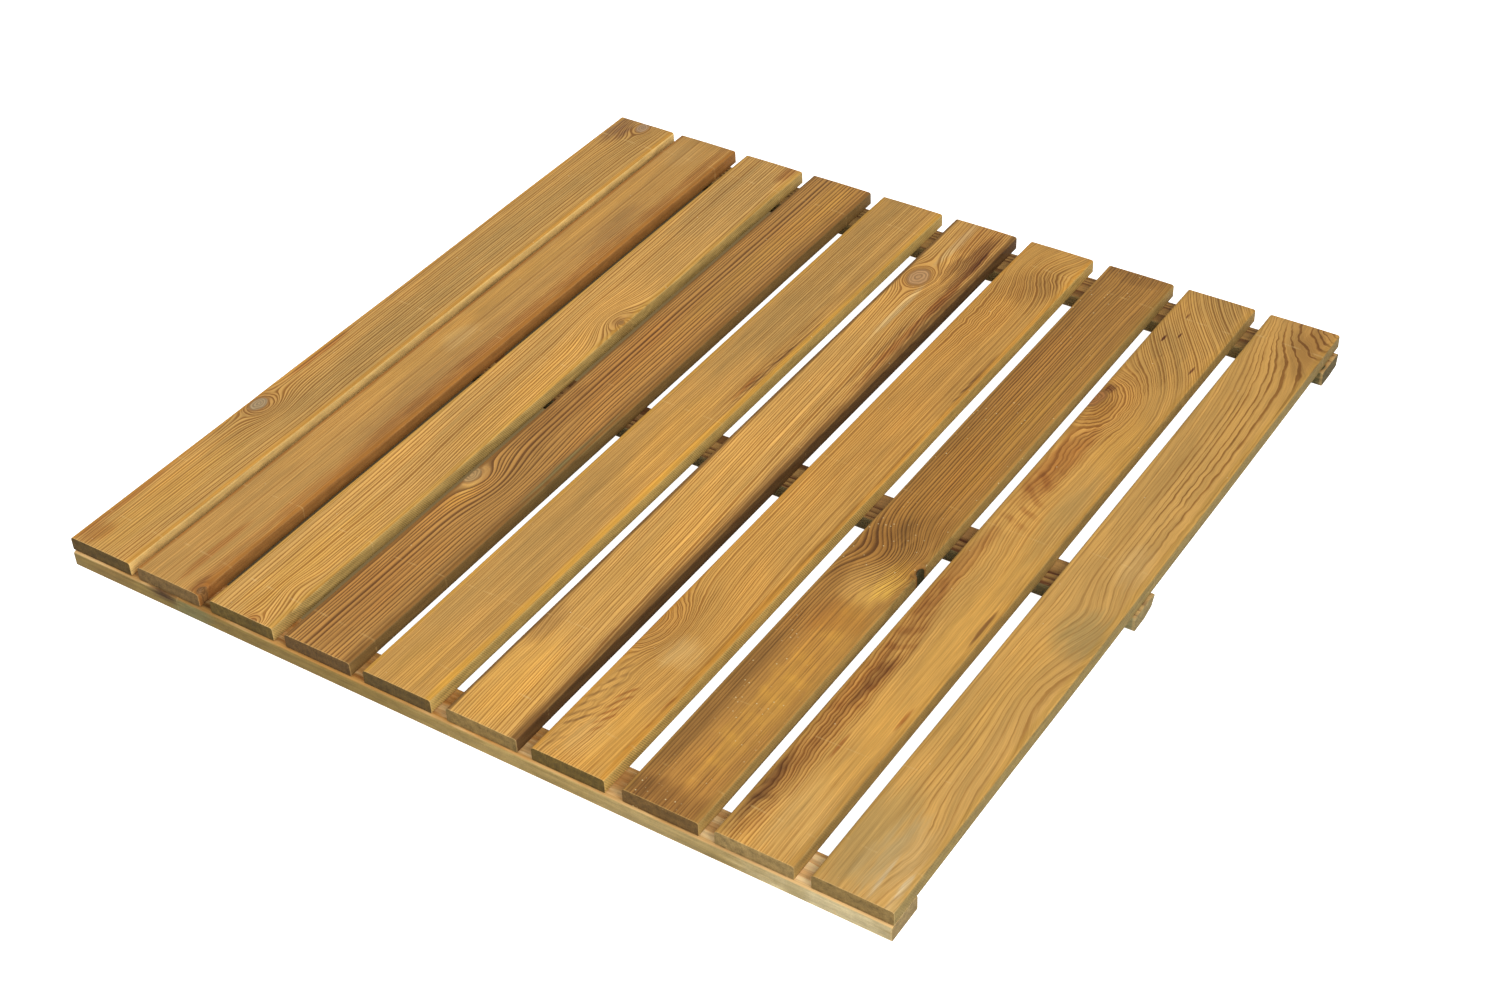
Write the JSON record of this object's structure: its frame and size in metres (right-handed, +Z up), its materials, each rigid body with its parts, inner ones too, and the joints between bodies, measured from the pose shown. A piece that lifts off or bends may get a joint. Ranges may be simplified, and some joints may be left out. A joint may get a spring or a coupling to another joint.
{
  "type": "duckboard",
  "caption": "Square slatted softwood duckboard: rounded slats screwed from below across three battens, with drainage gaps, to stand on in wet places.",
  "frame": {"origin": "centre of the underside, where the battens meet the floor", "axes": "+X across the slats towards the last slat, +Y along the slats towards the far batten, +Z up through the walking face"},
  "size_m": [1, 1.003, 0.0353],
  "materials": {
    "slat_wood_tan": "planed, treated, fine straight grain",
    "slat_wood_golden": "planed, treated, golden with bold grain",
    "slat_wood_brown": "planed, treated, darker heartwood",
    "batten_wood": "planed, treated, greenish on the faces",
    "screw_steel": "zinc and yellow passivated"
  },
  "bodies": {
    "root": {"slat_01": "slat_wood_tan", "slat_02": "slat_wood_tan", "slat_03": "slat_wood_golden", "slat_04": "slat_wood_brown", "slat_05": "slat_wood_tan", "slat_06": "slat_wood_golden", "slat_07": "slat_wood_tan", "slat_08": "slat_wood_brown", "slat_09": "slat_wood_golden", "slat_10": "slat_wood_golden", "batten_near": "batten_wood", "batten_middle": "batten_wood", "batten_far": "batten_wood", "screw_near_01": "screw_steel", "screw_near_02": "screw_steel", "screw_near_03": "screw_steel", "screw_near_04": "screw_steel", "screw_near_05": "screw_steel", "screw_near_06": "screw_steel", "screw_near_07": "screw_steel", "screw_near_08": "screw_steel", "screw_near_09": "screw_steel", "screw_near_10": "screw_steel", "screw_middle_01": "screw_steel", "screw_middle_02": "screw_steel", "screw_middle_03": "screw_steel", "screw_middle_04": "screw_steel", "screw_middle_05": "screw_steel", "screw_middle_06": "screw_steel", "screw_middle_07": "screw_steel", "screw_middle_08": "screw_steel", "screw_middle_09": "screw_steel", "screw_middle_10": "screw_steel", "screw_far_01": "screw_steel", "screw_far_02": "screw_steel", "screw_far_03": "screw_steel", "screw_far_04": "screw_steel", "screw_far_05": "screw_steel", "screw_far_06": "screw_steel", "screw_far_07": "screw_steel", "screw_far_08": "screw_steel", "screw_far_09": "screw_steel", "screw_far_10": "screw_steel"}
  },
  "joints": []
}
